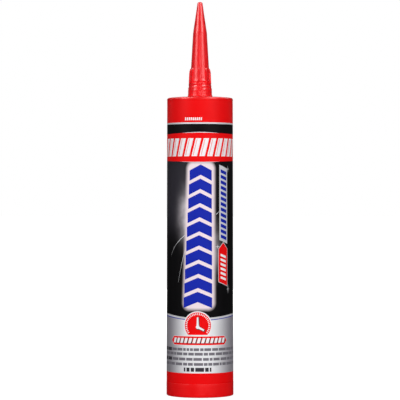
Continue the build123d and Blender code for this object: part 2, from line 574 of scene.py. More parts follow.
# Low-density polyethylene, moulded: softer, waxier and glossier, with a little light in its thin wall
NOZZLE_PLASTIC = MouldedPlastic(
    "low_density_polyethylene_moulded_red",
    "E60D15",
    "EE1118",
    roughness=0.28,
    gloss=0.6,
    peel_mm=2.6,
    peel_depth_mm=0.003,
    glow=0.03,
)
# Undyed polyethylene, moulded: milky and dull, with light spreading in it
PISTON_PLASTIC = MouldedPlastic(
    "natural_polyethylene_moulded",
    "DEDCD4",
    "E8E6E0",
    roughness=0.4,
    gloss=0.4,
    glow=0.3,
    glow_reach=(1.0, 0.9, 0.7),
)
# Inks of the printed film. One satin laminate covers them all, so their sheen is broad and low
# Red ink, laid on thick: a deep, even red that almost matches the plastic above and below it
RED_INK = PrintedFilm("printed_film_red", "EE060A")
# Black ink: a neutral, near-black field whose mottle is only felt
BLACK_INK = PrintedFilm("printed_film_black", "0A090B", mottle_share=0.2)
# Blue ink: a strong, slightly violet blue, clear beside white and black
BLUE_INK = PrintedFilm("printed_film_blue", "1628A8")
# White ink: opaque, with a hint of pink from the red below it
WHITE_INK = PrintedFilm("printed_film_white", "F1EDF0", mottle_share=0.03)
# Grey ink: a mid grey, so that rows of dashes read as one soft tone from a step away
GREY_INK = PrintedFilm("printed_film_grey", "75727A")
# Dark grey ink: near black, for the bolder dashes and the drop shadows of the white shapes
DARK_INK = PrintedFilm("printed_film_dark_grey", "3C3A40")
# Silver ink: fine flakes in varnish, so pale and only partly metallic
SILVER_INK = PrintedFilm("printed_film_silver", "D4D4D8", roughness=0.42, metal=0.15)
# The same silver with painted shade: it goes grey towards the sides, which makes the panel look rounder
# than it is
SILVER_PANEL_PAINTED_SHADE = SilverPanelWithPaintedShade("printed_film_silver_painted_shade", "F0F0F3", roughness=0.42, metal=0.15)
# Black with screened white over it: a halo and smoke that fade into the black field
GLOW_PANEL = GlowPanel("printed_film_black_with_glow", "0A090B", mottle_share=0.2)


def rounded(corners: list[Corner], steps: int = 4) -> list[Point]:
    """Rounds the corners of an open outline with arcs.

    Args:
        corners: Radius, height and corner radius of each point, in millimetres; the ends stay sharp.
        steps: Straight runs in each arc.

    Returns:
        The outline's points.
    """
    points = [corners[0][:2]]
    for before, here, after in zip(corners, corners[1:], corners[2:]):
        corner = Vector(here[:2])
        back = (Vector(before[:2]) - corner).normalized()
        onward = (Vector(after[:2]) - corner).normalized()
        half = back.angle(onward) / 2
        if here[2] == 0:
            points.append(here[:2])
            continue
        centre = corner + (back + onward).normalized() * here[2] / math.sin(half)
        start = corner + back * here[2] / math.tan(half) - centre
        end = corner + onward * here[2] / math.tan(half) - centre
        turns = [start.slerp(end, step / steps) for step in range(steps + 1)]
        points += [tuple(centre + turn * here[2]) for turn in turns]
    points.append(corners[-1][:2])
    return points


def steps_between(low: float, high: float, step: float) -> list[float]:
    """Evenly spaced values from one value to another, with both ends, at most a step apart."""
    count = max(1, math.ceil((high - low) / step))
    return [low + (high - low) * i / count for i in range(count + 1)]


def start_mesh(name: str) -> bpy.types.Object:
    """Names the primitive just added and opens it for editing.

    Args:
        name: The piece's name.

    Returns:
        The new object, in edit mode.
    """
    piece = bpy.context.object
    piece.name = piece.data.name = name
    bpy.ops.object.mode_set(mode="EDIT")
    bpy.ops.mesh.select_mode(type="EDGE")
    return piece


def close_mesh(piece: bpy.types.Object) -> None:
    """Merges doubles, turns the faces outwards and leaves edit mode with smooth shading.

    Args:
        piece: The piece, in edit mode.
    """
    bpy.ops.mesh.select_all(action="SELECT")
    bpy.ops.mesh.remove_doubles(threshold=MERGE_DISTANCE)
    bpy.ops.mesh.normals_make_consistent(inside=False)
    bpy.ops.object.mode_set(mode="OBJECT")
    smooth(piece)


def smooth(piece: bpy.types.Object) -> None:
    """Shades a piece smooth, apart from its sharp edges.

    Args:
        piece: The piece, in object mode.
    """
    bpy.ops.object.select_all(action="DESELECT")
    piece.select_set(True)
    bpy.context.view_layer.objects.active = piece
    bpy.ops.object.shade_smooth_by_angle(angle=SMOOTH_ANGLE)


def turned(name: str, outline: Outline, segments: int) -> bpy.types.Object:
    """Turns an outline about the Z axis, drawing a circle from ring to ring.

    Args:
        name: The piece's name.
        outline: Radius and height of each ring in millimetres. It starts and ends on the axis, or it
            comes back to its first point, and a first point on the axis has the height of the next.
        segments: Faces in each ring.

    Returns:
        The closed piece.
    """
    bpy.ops.object.select_all(action="DESELECT")
    fill = "NOTHING"
    if outline[0][0] == 0:
        fill = "TRIFAN"
        outline = outline[1:]
    radius, height = outline[0]
    bpy.ops.mesh.primitive_circle_add(
        vertices=segments, radius=radius * MM, fill_type=fill, location=(0, 0, 0)
    )
    piece = start_mesh(name)
    bpy.ops.transform.translate(value=(0, 0, height * MM))
    if fill == "TRIFAN":
        bpy.ops.mesh.select_all(action="DESELECT")
        bpy.ops.mesh.select_non_manifold()
    for next_radius, next_height in outline[1:]:
        bpy.ops.mesh.extrude_edges_move(
            TRANSFORM_OT_translate={"value": (0, 0, (next_height - height) * MM)}
        )
        if next_radius == 0:
            bpy.ops.mesh.merge(type="CENTER")
            break
        share = next_radius / radius
        bpy.ops.transform.resize(value=(share, share, 1), center_override=(0, 0, 0))
        radius, height = next_radius, next_height
    close_mesh(piece)
    return piece


def move_points(piece: bpy.types.Object, radius_at: RadiusAt) -> None:
    """Moves each point of a turned piece in or out, for what isn't round about the axis.

    Args:
        piece: The turned piece.
        radius_at: Gives a point's new radius.
    """
    for vertex in piece.data.vertices:
        radius = math.hypot(vertex.co.x, vertex.co.y)
        if radius < MERGE_DISTANCE:
            continue
        turn = math.atan2(vertex.co.y, vertex.co.x) % TURN
        share = radius_at(radius / MM, vertex.co.z / MM, turn) * MM / radius
        vertex.co.x *= share
        vertex.co.y *= share
    piece.data.update()


def seat(piece: bpy.types.Object, body: str, stands_for: str | None = None) -> None:
    """Hangs a finished piece on its body and reports it.

    Args:
        piece: The piece, in place.
        body: The body that it moves with.
        stands_for: The solid that it is shown instead of.
    """
    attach(piece, body)
    if stands_for:
        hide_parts(stands_for)
    log.info("%s: %d faces on %s", piece.name, len(piece.data.polygons), body)


@dataclass(frozen=True)
class Thread:
    """A coarse moulded thread, as a wave on a wall."""

    pitch: float = 2.5
    height: float = 0.75
    crest_share: float = 0.12
    foot_share: float = 0.3
    run_out: float = 1.2

    def rise(self, height: float, turn: float, low: float, high: float, shift: float = 0.0) -> float:
        """How far the thread stands off its wall at a point.

        Args:
            height: The point's height.
            turn: The point's turn about the axis, in radians.
            low: Height at which the thread starts.
            high: Height at which it ends.
            shift: Where the thread starts, as a share of a turn.

        Returns:
            The rise in millimetres.
        """
        phase = (height / self.pitch - turn / TURN + shift) % 1.0
        apart = min(phase, 1.0 - phase)
        flank = smooth_step((self.foot_share - apart) / (self.foot_share - self.crest_share))
        ends = smooth_step((height - low) / self.run_out) * smooth_step((high - height) / self.run_out)
        return self.height * flank * ends


@dataclass
class Barrel:
    """The barrel's one moulding: rear collar, tube, shoulder, pad and threaded neck."""

    radius: float = field(default_factory=lambda: reach("barrel"))
    mouth_z: float = field(default_factory=lambda: top("barrel"))
    neck_height: float = 10.0
    draft: float = 0.42
    collar_height: float = 10.0
    film_recess: float = 0.22
    recess_edge: float = 0.04
    front_rim: float = 2.0
    rim_edge: float = 0.08
    wall: float = 1.7
    shoulder: float = 2.3
    shoulder_corner: float = 1.5
    inner_corner: float = 1.0
    rear_corner: float = 0.8
    bore_lead_in: float = 0.4
    groove_heights: tuple[float, float] = (3.0, 6.2)
    groove_depth: float = 0.05
    groove_half: float = 0.35
    groove_edge: float = 0.1
    pad_radius: float = 9.9
    pad_height: float = 0.5
    pad_foot: float = 0.3
    pad_edge: float = 0.15
    neck_root: float = 6.5
    neck_foot: float = 0.3
    neck_bore: float = 4.7
    neck_bore_foot: float = 0.3
    neck_lead_in: float = 0.5
    neck_ring_step: float = 0.22
    mouth_edge: float = 0.15
    mouth_bore_edge: float = 0.2
    thread_start: float = 0.5
    neck_tolerance: float = 0.02
    segments: int = 224
    thread: Thread = Thread()

    @property
    def shoulder_z(self) -> float:
        """Height of the shoulder's face."""
        return self.mouth_z - self.neck_height

    @property
    def thread_span(self) -> Point:
        """Heights between which the neck's thread stands."""
        return self.shoulder_z + self.pad_height + self.thread_start, self.mouth_z - self.neck_lead_in

    def wall_radius(self, height: float) -> float:
        """Outer radius of the tube at a height, where the mould's draft narrows it."""
        share = (height - self.collar_height) / (self.shoulder_z - self.collar_height)
        return self.radius - self.draft * share

    def outline(self) -> list[Point]:
        """Draws the section of the wall.

        Returns:
            Its points, from the rear rim up the outside, over the neck and down the bore.
        """
        bore = self.radius - self.wall
        inner_z = self.shoulder_z - self.shoulder
        rim_z = self.shoulder_z - self.front_rim
        pad_z = self.shoulder_z + self.pad_height
        corners = [(bore + self.bore_lead_in, 0, 0), (self.radius, 0, self.rear_corner)]
        for groove in self.groove_heights:
            corners += [
                (self.radius, groove - self.groove_half, self.groove_edge),
                (self.radius - self.groove_depth, groove, self.groove_edge),
                (self.radius, groove + self.groove_half, self.groove_edge),
            ]
        corners += [
            (self.radius, self.collar_height, self.recess_edge),
            (self.radius - self.film_recess, self.collar_height, self.recess_edge),
            (self.wall_radius(rim_z) - self.film_recess, rim_z, self.recess_edge),
            (self.wall_radius(rim_z), rim_z, self.rim_edge),
            (self.wall_radius(self.shoulder_z), self.shoulder_z, self.shoulder_corner),
            (self.pad_radius, self.shoulder_z, self.pad_foot),
            (self.pad_radius, pad_z, self.pad_edge),
            (self.neck_root, pad_z, self.neck_foot),
            (self.neck_root, self.mouth_z - self.neck_lead_in, 0),
        ]
        outer = rounded(corners)
        rings = steps_between(outer[-2][1], outer[-1][1], self.neck_ring_step)[1:]
        mouth = rounded(
            [
                (self.neck_root, rings[-1], 0),
                (self.neck_root - self.neck_lead_in, self.mouth_z, self.mouth_edge),
                (self.neck_bore, self.mouth_z, self.mouth_bore_edge),
                (self.neck_bore, inner_z, self.neck_bore_foot),
                (bore - self.inner_corner, inner_z, 0),
                (bore, inner_z - self.inner_corner, 0),
                (bore, self.bore_lead_in, 0),
                (bore + self.bore_lead_in, 0, 0),
            ]
        )
        return [*outer[:-1], *((self.neck_root, z) for z in rings), *mouth[1:]]

    def threaded(self, radius: float, height: float, turn: float) -> float:
        """Radius of a point once the thread stands on the neck's wall.

        Args:
            radius: The point's radius on the turned wall.
            height: The point's height.
            turn: The point's turn about the axis, in radians.

        Returns:
            The new radius.
        """
        low, high = self.thread_span
        if abs(radius - self.neck_root) < self.neck_tolerance and low < height <= high:
            return radius + self.thread.rise(height, turn, low, high)
        return radius

    def build(self) -> None:
        """Models the moulding and raises the thread on its neck."""
        piece = turned("barrel_moulding", self.outline(), self.segments)
        move_points(piece, self.threaded)
        smooth(piece)
        piece.data.materials.append(BARREL_PLASTIC.material())
        seat(piece, "barrel", "barrel")


@dataclass(frozen=True)
class BandEdge:
    """Upper edge of a printed band: level behind, and bowed across the front."""

    finish: PrintedFilm
    height: float
    bow: float = 0.0
    crescent: float = 0.0
    crescent_degrees: float = 30.0

    def at(self, turn: float) -> float:
        """Finds how high the edge runs.

        Args:
            turn: The turn from the front, in radians.

        Returns:
            Its height there.
        """
        across = max(0.0, math.cos(turn)) ** 2 if abs(turn) < TURN / 4 else 0.0
        share = turn / math.radians(self.crescent_degrees)
        return self.height + self.bow * across + self.crescent * max(0.0, 1 - share * share)


@dataclass
class Label:
    """The printed film: one sheet wrapped round the barrel, with its lap at the back."""

    barrel: Barrel
    bottom_z: float = field(default_factory=lambda: bottom("label"))
    top_z: float = field(default_factory=lambda: top("label"))
    thickness: float = 0.12
    seat_gap: float = 0.02
    lap_degrees: float = 16.0
    ramp_degrees: float = 5.0
    columns: int = 376
    wrap_radius: float = 24.7
    ink_depth: float = 0.022
    rear_band_z: float = 18.05
    panel_z: float = 61.36
    panel_bow: float = -2.65
    panel_blue_drop: float = 2.0
    panel_silver_drop: float = 1.4
    wide_band_low_z: float = 174.4
    wide_band_low_bow: float = -1.0
    low_crescent: tuple[float, float] = (-0.45, 37.0)
    wide_band_high_z: float = 194.2
    wide_band_high_bow: float = 0.7
    high_crescent: tuple[float, float] = (0.52, 33.0)
    black_band_z: float = 201.35
    silver_line_z: float = 202.5

    def edges(self) -> list[BandEdge]:
        """Lists the printed bands by their upper edges.

        Returns:
            The edges, from the rear red band's to the front one's.
        """
        low, low_bow = self.wide_band_low_z, self.wide_band_low_bow
        high, high_bow = self.wide_band_high_z, self.wide_band_high_bow
        return [
            BandEdge(RED_INK, self.rear_band_z),
            BandEdge(SILVER_PANEL_PAINTED_SHADE, self.panel_z - self.panel_blue_drop, self.panel_bow),
            BandEdge(BLUE_INK, self.panel_z - self.panel_silver_drop, self.panel_bow),
            BandEdge(SILVER_INK, self.panel_z, self.panel_bow),
            BandEdge(GLOW_PANEL, low, low_bow, *self.low_crescent),
            BandEdge(SILVER_INK, low, low_bow),
            BandEdge(RED_INK, high, high_bow),
            BandEdge(SILVER_INK, high, high_bow, *self.high_crescent),
            BandEdge(BLACK_INK, self.black_band_z),
            BandEdge(SILVER_INK, self.silver_line_z),
            BandEdge(RED_INK, self.top_z),
        ]

    def place(self, along: float, height: float, lift: float) -> Vector:
        """Puts a point of the flat sheet on the barrel.

        Args:
            along: Distance along the wrap from the front centre, in millimetres.
            height: Height up the barrel.
            lift: How far the point stands off the film's outer face.

        Returns:
            The point in metres.
        """
        turn = along / self.wrap_radius
        seam = TURN / 2
        ramp = math.radians(self.ramp_degrees)
        over = self.thickness * smooth_step((turn - seam + ramp) / ramp)
        sunk = self.barrel.film_recess - self.seat_gap - self.thickness
        radius = self.barrel.wall_radius(height) - sunk + over + lift
        return Vector((radius * math.sin(turn), -radius * math.cos(turn), height)) * MM

    def build(self) -> None:
        """Models the sheet band by band, wraps it and gives it its thickness."""
        edges = self.edges()
        bpy.ops.object.select_all(action="DESELECT")
        bpy.ops.mesh.primitive_grid_add(
            x_subdivisions=self.columns, y_subdivisions=len(edges), size=2.0
        )
        piece = bpy.context.object
        piece.name = piece.data.name = "label_film"
        low = -TURN / 2 * self.wrap_radius
        length = (TURN + math.radians(self.lap_degrees)) * self.wrap_radius
        finishes = list(dict.fromkeys(edge.finish for edge in edges))
        for finish in finishes:
            piece.data.materials.append(finish.material())
        for face in piece.data.polygons:
            row = int((face.center.y + 1) / 2 * len(edges))
            face.material_index = finishes.index(edges[row].finish)
        for vertex in piece.data.vertices:
            along = low + length * (vertex.co.x + 1) / 2
            row = round((vertex.co.y + 1) / 2 * len(edges))
            turn = (along / self.wrap_radius + TURN / 2) % TURN - TURN / 2
            height = edges[row - 1].at(turn) if row else self.bottom_z
            vertex.co = (along * MM, height * MM, 0)
        flat = piece.data.uv_layers[0]
        flat.name = "print"
        for loop in piece.data.loops:
            flat.data[loop.index].uv = piece.data.vertices[loop.vertex_index].co.xy
        for vertex in piece.data.vertices:
            vertex.co = self.place(vertex.co.x / MM, vertex.co.y / MM, 0.0)
        bpy.ops.object.mode_set(mode="EDIT")
        close_mesh(piece)
        thicken(piece, self.thickness)
        seat(piece, "barrel", "label")


def thicken(piece: bpy.types.Object, depth: float) -> None:
    """Gives a sheet its thickness, inwards from the face that shows.

    Args:
        piece: The sheet, with its faces outwards.
        depth: Its thickness in millimetres.
    """
    wall = piece.modifiers.new("thickness", "SOLIDIFY")
    wall.thickness = depth * MM
    wall.offset = -1
    bpy.context.view_layer.objects.active = piece
    bpy.ops.object.modifier_apply(modifier=wall.name)
    smooth(piece)


@dataclass(frozen=True)
class SlantRow:
    """A row of slanted bars along the wrap, whose widths are used in turn."""

    span: Point
    heights: Point
    widths: tuple[float, ...]
    gap: float
    slant_degrees: float = 0.0


@dataclass(frozen=True)
class Ladder:
    """A ladder of bars up the barrel, each lower on its right by the drop."""

    sides: Point
    foot: float
    pitch: float
    count: int
    drop: float
    depth: float


@dataclass(frozen=True)
class Sparkle:
    """A small four-pointed star."""

    centre: Point
    half_height: float
    half_width: float


@dataclass(frozen=True)
class Hand:
    """A hand of the dial, turned by its degrees from straight up towards the right."""

    degrees: float
    length: float
    root_half: float
    tip_half: float


@dataclass
class PrintRun:
    """All that one ink prints on the film, drawn flat and then wrapped."""

    label: Label
    name: str
    finish: PrintedFilm
    cut_step: float = 1.2
    disc_sides: int = 96
    shapes: list[tuple[Outline, int]] = field(default_factory=list)

    def shape(self, points: Outline, layer: int) -> None:
        """Adds a filled outline that lies on so many layers of ink, with its own."""
        self.shapes.append((points, layer))

    def disc(self, centre: Point, radius: float, layer: int, flat_below: float | None = None) -> None:
        """Adds a disc.

        Args:
            centre: Its centre on the flat film.
            radius: Its radius.
            layer: How many layers of ink it lies on, with its own.
            flat_below: Height at which it is cut off level.
        """
        turns = [i * TURN / self.disc_sides for i in range(self.disc_sides)]
        points = [(centre[0] + radius * math.cos(t), centre[1] + radius * math.sin(t)) for t in turns]
        if flat_below is not None:
            half = math.sqrt(radius**2 - (centre[1] - flat_below) ** 2)
            ends = [(centre[0] - half, flat_below), (centre[0] + half, flat_below)]
            summit = self.disc_sides // 4
            points = [p for p in points[summit:] + points[:summit] if p[1] > flat_below]
            low = next(i for i, p in enumerate(points) if p[0] > centre[0] and p[1] < centre[1])
            points[low:low] = ends
        self.shape(points, layer)

    def row(self, bars: SlantRow, layer: int) -> None:
        """Adds a row of slanted bars, as many as fit in its span.

        Args:
            bars: The row.
            layer: How many layers of ink it lies on, with its own.
        """
        low, high = bars.heights
        lean = taper(high - low, bars.slant_degrees) / 2
        start, number = bars.span[0], 0
        while (end := start + bars.widths[number % len(bars.widths)]) <= bars.span[1]:
            bar = [(start - lean, low), (end - lean, low), (end + lean, high), (start + lean, high)]
            self.shape(bar, layer)
            start = end + bars.gap
            number += 1

    def ladder(self, rungs: Ladder, layer: int) -> None:
        """Adds a ladder of bars.

        Args:
            rungs: The ladder.
            layer: How many layers of ink it lies on, with its own.
        """
        left, right = rungs.sides
        for number in range(rungs.count):
            low = rungs.foot + number * rungs.pitch
            dropped = low - rungs.drop
            high, dropped_high = low + rungs.depth, dropped + rungs.depth
            self.shape([(left, low), (right, dropped), (right, dropped_high), (left, high)], layer)

    def draw(self, points: Outline, layer: int) -> None:
        """Draws one filled outline into the open mesh.

        Args:
            points: The outline on the flat film.
            layer: How many layers of ink it lies on, with its own.
        """
        bpy.ops.mesh.primitive_circle_add(vertices=len(points), fill_type="NGON", radius=MM)
        mesh = bmesh.from_edit_mesh(bpy.context.edit_object.data)
        drawn = next(face for face in mesh.faces if face.select)
        for corner, (along, height) in zip(drawn.verts, points):
            corner.co = (along * MM, height * MM, layer * self.label.ink_depth * MM)
        bmesh.update_edit_mesh(bpy.context.edit_object.data)

    def build(self) -> None:
        """Draws the shapes, cuts them so that they bend, wraps them and gives the ink its thickness."""
        bpy.ops.object.select_all(action="DESELECT")
        bpy.ops.mesh.primitive_plane_add(size=MM)
        piece = start_mesh(self.name)
        bpy.ops.mesh.delete(type="VERT")
        for points, layer in self.shapes:
            self.draw(points, layer)
        reach_along = [x for points, _ in self.shapes for x, _ in points]
        for cut in steps_between(min(reach_along), max(reach_along), self.cut_step)[1:-1]:
            bpy.ops.mesh.select_all(action="SELECT")
            bpy.ops.mesh.bisect(plane_co=(cut * MM, 0, 0), plane_no=(1, 0, 0))
        bpy.ops.object.mode_set(mode="OBJECT")
        for vertex in piece.data.vertices:
            vertex.co = self.label.place(*(value / MM for value in vertex.co))
        piece.data.update()
        for face in piece.data.polygons:
            if face.normal.dot(Vector((face.center.x, face.center.y, 0))) < 0:
                face.flip()
        thicken(piece, self.label.ink_depth)
        piece.data.materials.append(self.finish.material())
        seat(piece, "barrel")


@dataclass
class Artwork:
    """The film's plain ornaments: arrows, bars, a dial, a pointed banner and rows of dashes."""

    label: Label
    rays: tuple[Outline, ...] = (
        ((-11.5, 119.5), (-15.0, 116.8), (-19.5, 112.8), (-23.0, 108.6), (-25.8, 103.8)),
        ((-10.2, 113.0), (-12.0, 106.5), (-14.2, 98.5), (-16.0, 91.0), (-17.4, 84.5)),
        ((12.6, 134.8), (14.0, 136.2), (15.0, 137.1)),
    )
    ray_half: float = 0.17
    arrow_centres: Point = (-1.7, 0.5)
    arrow_heights: Point = (66.0, 171.5)
    arrow_widths: Point = (21.6, 16.6)
    arrow_count: int = 10
    arrow_stroke: float = 7.6
    arrow_rise: float = 4.4
    stripes: SlantRow = SlantRow((-34.0, 36.0), (177.6, 190.8), (4.1,), 1.75, 14.0)
    stripe_lines: SlantRow = SlantRow((-33.0, 36.0), (178.4, 190.0), (0.35,), 5.5, 14.0)
    strip: Outline = ((15.2, 116.0), (23.4, 113.0), (23.4, 168.5), (15.2, 171.5))
    strip_bars: Ladder = Ladder((16.5, 22.3), 117.6, 4.0, 13, 2.0, 2.5)
    tag_edge: Outline = ((14.2, 85.0), (23.6, 81.5), (23.6, 109.5), (18.9, 114.6), (14.2, 109.5))
    tag: Outline = ((14.6, 85.3), (23.2, 82.1), (23.2, 109.4), (18.9, 113.9), (14.6, 109.4))
    tag_bars: Ladder = Ladder((16.3, 21.6), 87.6, 3.3, 6, 1.7, 1.7)
    sparkles: tuple[Sparkle, ...] = (
        Sparkle((24.3, 79.6), 3.6, 1.7),
        Sparkle((13.6, 111.0), 1.6, 2.6),
        Sparkle((24.3, 168.3), 2.6, 1.9),
    )
    sparkle_waist: float = 0.28
    dial_centre: Point = (-1.7, 53.1)
    dial_radius: float = 10.6
    dial_flat: float = 45.9
    dial_rim: float = 0.8
    tick_count: int = 40
    tick_reach: Point = (7.9, 9.2)
    tick_half: float = 0.3
    tick_clearance: float = 1.4
    hub_drop: float = 1.0
    hub_radius: float = 1.35
    hands: tuple[Hand, ...] = (Hand(0.0, 7.2, 0.85, 0.55), Hand(118.0, 5.2, 0.85, 0.6))
    shadow_shift: float = 0.3
    shadow_grow: float = 0.35
    banner_span: Point = (-24.6, 22.8)
    banner_z: float = 42.0
    banner_half: float = 3.4
    banner_point: float = 2.9
    banner_rim: float = 0.22
    banner_rim_at_point_share: float = 1.3
    banner_rim_at_corner_share: float = 0.5
    banner_row_shift: float = 0.7
    banner_row_half: float = 1.85
    banner_row_lift: float = 0.15
    banner_bar: float = 2.1
    banner_bar_gap: float = 1.15
    banner_bar_shadow: float = 2.5
    banner_bar_shift: float = 0.35
    banner_slant_degrees: float = 16.0
    row_heights: tuple[float, ...] = (35.5, 32.2, 28.4, 24.7)
    row_half: float = 1.0
    row_span: Point = (-36.0, 35.0)
    row_seed: int = 7
    lead_rows: tuple[int, ...] = (0, 2)
    lead_end: float = -26.0
    lead_dash: float = 5.5
    lead_half_share: float = 1.2
    dash_lengths: Point = (1.8, 7.0)
    dash_gaps: Point = (0.5, 0.9)
    foot_row: SlantRow = SlantRow((-12.3, 10.5), (19.3, 22.2), (1.3, 2.4, 2.6, 6.4, 2.6, 1.2), 0.85)
    top_row: SlantRow = SlantRow((-11.5, 1.8), (204.0, 206.1), (0.95,), 0.55, 6.0)

    def build(self) -> None:
        """Sets out what each ink prints, and prints it."""
        white = PrintRun(self.label, "print_white", WHITE_INK)
        red = PrintRun(self.label, "print_red", RED_INK)
        blue = PrintRun(self.label, "print_blue", BLUE_INK)
        dark = PrintRun(self.label, "print_dark_grey", DARK_INK)
        grey = PrintRun(self.label, "print_grey", GREY_INK)
        silver = PrintRun(self.label, "print_silver", SILVER_INK)
        self.lay_rays(silver)
        self.lay_arrows(blue)
        self.lay_stripes(white, red)
        self.lay_strip(silver, blue, red, white)
        self.lay_sparkles(silver)
        self.lay_dial(white, red, dark)
        self.lay_banner(white, red, dark)
        self.lay_dashes(grey, dark)
        dark.row(self.foot_row, 1)
        white.row(self.top_row, 1)
        for run in (silver, grey, blue, red, dark, white):
            run.build()

    def lay_rays(self, silver: PrintRun) -> None:
        """Lays out the fine bent rays that leave the halo, each thinner towards its end.

        Args:
            silver: The ink that prints them.
        """
        for bends in self.rays:
            halves = [self.ray_half * (1 - i / len(bends)) for i in range(len(bends))]
            left = [(x - half, z + half) for (x, z), half in zip(bends, halves)]
            right = [(x + half, z - half) for (x, z), half in zip(bends, halves)]
            silver.shape(left + right[::-1], 1)

    def lay_arrows(self, blue: PrintRun) -> None:
        """Lays out the column of arrowheads that points at the nozzle, smaller towards its top.

        Args:
            blue: The ink that prints them.
        """
        low, high = self.arrow_heights
        pitch = (high - low - self.arrow_stroke - self.arrow_rise) / (self.arrow_count - 1)
        for i in range(self.arrow_count):
            share = i / (self.arrow_count - 1)
            half = (self.arrow_widths[0] + (self.arrow_widths[1] - self.arrow_widths[0]) * share) / 2
            centre = self.arrow_centres[0] + (self.arrow_centres[1] - self.arrow_centres[0]) * share
            left, right, foot = centre - half, centre + half, low + i * pitch
            arrow = [
                (left, foot),
                (centre, foot + self.arrow_rise),
                (right, foot),
                (right, foot + self.arrow_stroke),
                (centre, foot + self.arrow_stroke + self.arrow_rise),
                (left, foot + self.arrow_stroke),
            ]
            blue.shape(arrow, 1)

    def lay_stripes(self, white: PrintRun, red: PrintRun) -> None:
        """Lays out the slanted stripes on the red band, with fine red lines in them.

        Args:
            white: The ink of the stripes.
            red: The ink of the lines.
        """
        white.row(self.stripes, 1)
        red.row(self.stripe_lines, 2)

    def lay_strip(self, silver: PrintRun, blue: PrintRun, red: PrintRun, white: PrintRun) -> None:
        """Lays out the strip of bars beside the arrows, and the pointed red tag under it.

        Args:
            silver: The ink of the strip, and of the tag's edge.
            blue: The ink of the strip's bars.
            red: The ink of the tag.
            white: The ink of the tag's bars.
        """
        silver.shape(self.strip, 1)
        blue.ladder(self.strip_bars, 2)
        silver.shape(self.tag_edge, 1)
        red.shape(self.tag, 2)
        white.ladder(self.tag_bars, 3)

    def lay_sparkles(self, silver: PrintRun) -> None:
        """Lays out the small stars at the strip's corners.

        Args:
            silver: The ink that prints them.
        """
        waist = self.sparkle_waist
        for star in self.sparkles:
            x, z = star.centre
            points = [
                (x + star.half_width, z),
                (x + waist, z + waist),
                (x, z + star.half_height),
                (x - waist, z + waist),
                (x - star.half_width, z),
                (x - waist, z - waist),
                (x, z - star.half_height),
                (x + waist, z - waist),
            ]
            silver.shape(points, 3)

    def lay_dial(self, white: PrintRun, red: PrintRun, dark: PrintRun) -> None:
        """Lays out the dial with its rim, its ring of ticks and its two hands over their shadows.

        Args:
            white: The ink of the rim, the ticks and the hands.
            red: The ink of the dial.
            dark: The ink of the shadows.
        """
        x, z = self.dial_centre
        white.disc(self.dial_centre, self.dial_radius, 1, self.dial_flat)
        inner, flat = self.dial_radius - self.dial_rim, self.dial_flat + self.dial_rim / 2
        red.disc(self.dial_centre, inner, 2, flat)
        for i in range(self.tick_count):
            turn = i * TURN / self.tick_count
            along = Vector((math.cos(turn), math.sin(turn)))
            across = Vector((-along.y, along.x)) * self.tick_half
            near, far = (Vector((x, z)) + along * reach for reach in self.tick_reach)
            if far.y > self.dial_flat + self.tick_clearance:
                corners = (near - across, far - across, far + across, near + across)
                white.shape([tuple(corner) for corner in corners], 3)
        for run, shift, grow, layer in (
            (dark, self.shadow_shift, self.shadow_grow, 3),
            (white, 0.0, 0.0, 5),
        ):
            middle = (x + shift, z - self.hub_drop - shift)
            run.disc(middle, self.hub_radius + grow, layer)
            for hand in self.hands:
                self.lay_hand(run, middle, hand, grow, layer + 1)

    def lay_hand(self, run: PrintRun, middle: Point, hand: Hand, grow: float, layer: int) -> None:
        """Lays out one hand of the dial.

        Args:
            run: The ink that prints it.
            middle: The middle of the hub.
            hand: The hand.
            grow: How much wider than the plain hand it is, for the shadow.
            layer: How many layers of ink it lies on, with its own.
        """
        turn = math.radians(hand.degrees)
        along = Vector((math.sin(turn), math.cos(turn)))
        across = Vector((along.y, -along.x))
        root, tip = Vector(middle), Vector(middle) + along * (hand.length + grow)
        at_root, at_tip = across * (hand.root_half + grow), across * (hand.tip_half + grow)
        corners = (root - at_root, tip - at_tip, tip + at_tip, root + at_root)
        run.shape([tuple(corner) for corner in corners], layer)

    def lay_banner(self, white: PrintRun, red: PrintRun, dark: PrintRun) -> None:
        """Lays out the banner with pointed ends, its fine edge and its row of shaded bars.

        Args:
            white: The ink of the edge and the bars.
            red: The ink of the banner.
            dark: The ink of the bars' shadows.
        """
        left, right = self.banner_span
        for run, rim, layer in ((white, 0.0, 1), (red, self.banner_rim, 2)):
            half = self.banner_half - rim
            point = rim * self.banner_rim_at_point_share
            corner = self.banner_point + rim * self.banner_rim_at_corner_share
            outline = [
                (left + point, self.banner_z),
                (left + corner, self.banner_z - half),
                (right - corner, self.banner_z - half),
                (right - point, self.banner_z),
                (right - corner, self.banner_z + half),
                (left + corner, self.banner_z + half),
            ]
            run.shape(outline, layer)
        start = left + self.banner_point + self.banner_row_shift
        end = right - self.banner_point + self.banner_row_shift
        pitch = self.banner_bar + self.banner_bar_gap
        for run, shift, lift, width, layer in (
            (dark, 0.0, -self.banner_row_lift, self.banner_bar_shadow, 3),
            (white, -self.banner_bar_shift, self.banner_row_lift, self.banner_bar, 4),
        ):
            low = self.banner_z - self.banner_row_half + lift
            high = self.banner_z + self.banner_row_half + lift
            span = (start + shift, end)
            gap = pitch - width
            run.row(SlantRow(span, (low, high), (width,), gap, self.banner_slant_degrees), layer)

    def lay_dashes(self, grey: PrintRun, dark: PrintRun) -> None:
        """Lays out rows of plain dashes of many lengths, some led by bolder ones.

        Args:
            grey: The ink of most dashes.
            dark: The ink of the leading ones.
        """
        draw = random.Random(self.row_seed)
        for row, height in enumerate(self.row_heights):
            start = self.row_span[0]
            while start < self.row_span[1]:
                leads = row in self.lead_rows and start < self.lead_end
                end = start + (self.lead_dash if leads else draw.uniform(*self.dash_lengths))
                half = self.row_half * (self.lead_half_share if leads else 1.0)
                low, high = height - half, height + half
                dash = [(start, low), (end, low), (end, high), (start, high)]
                (dark if leads else grey).shape(dash, 1)
                start = end + draw.uniform(*self.dash_gaps)


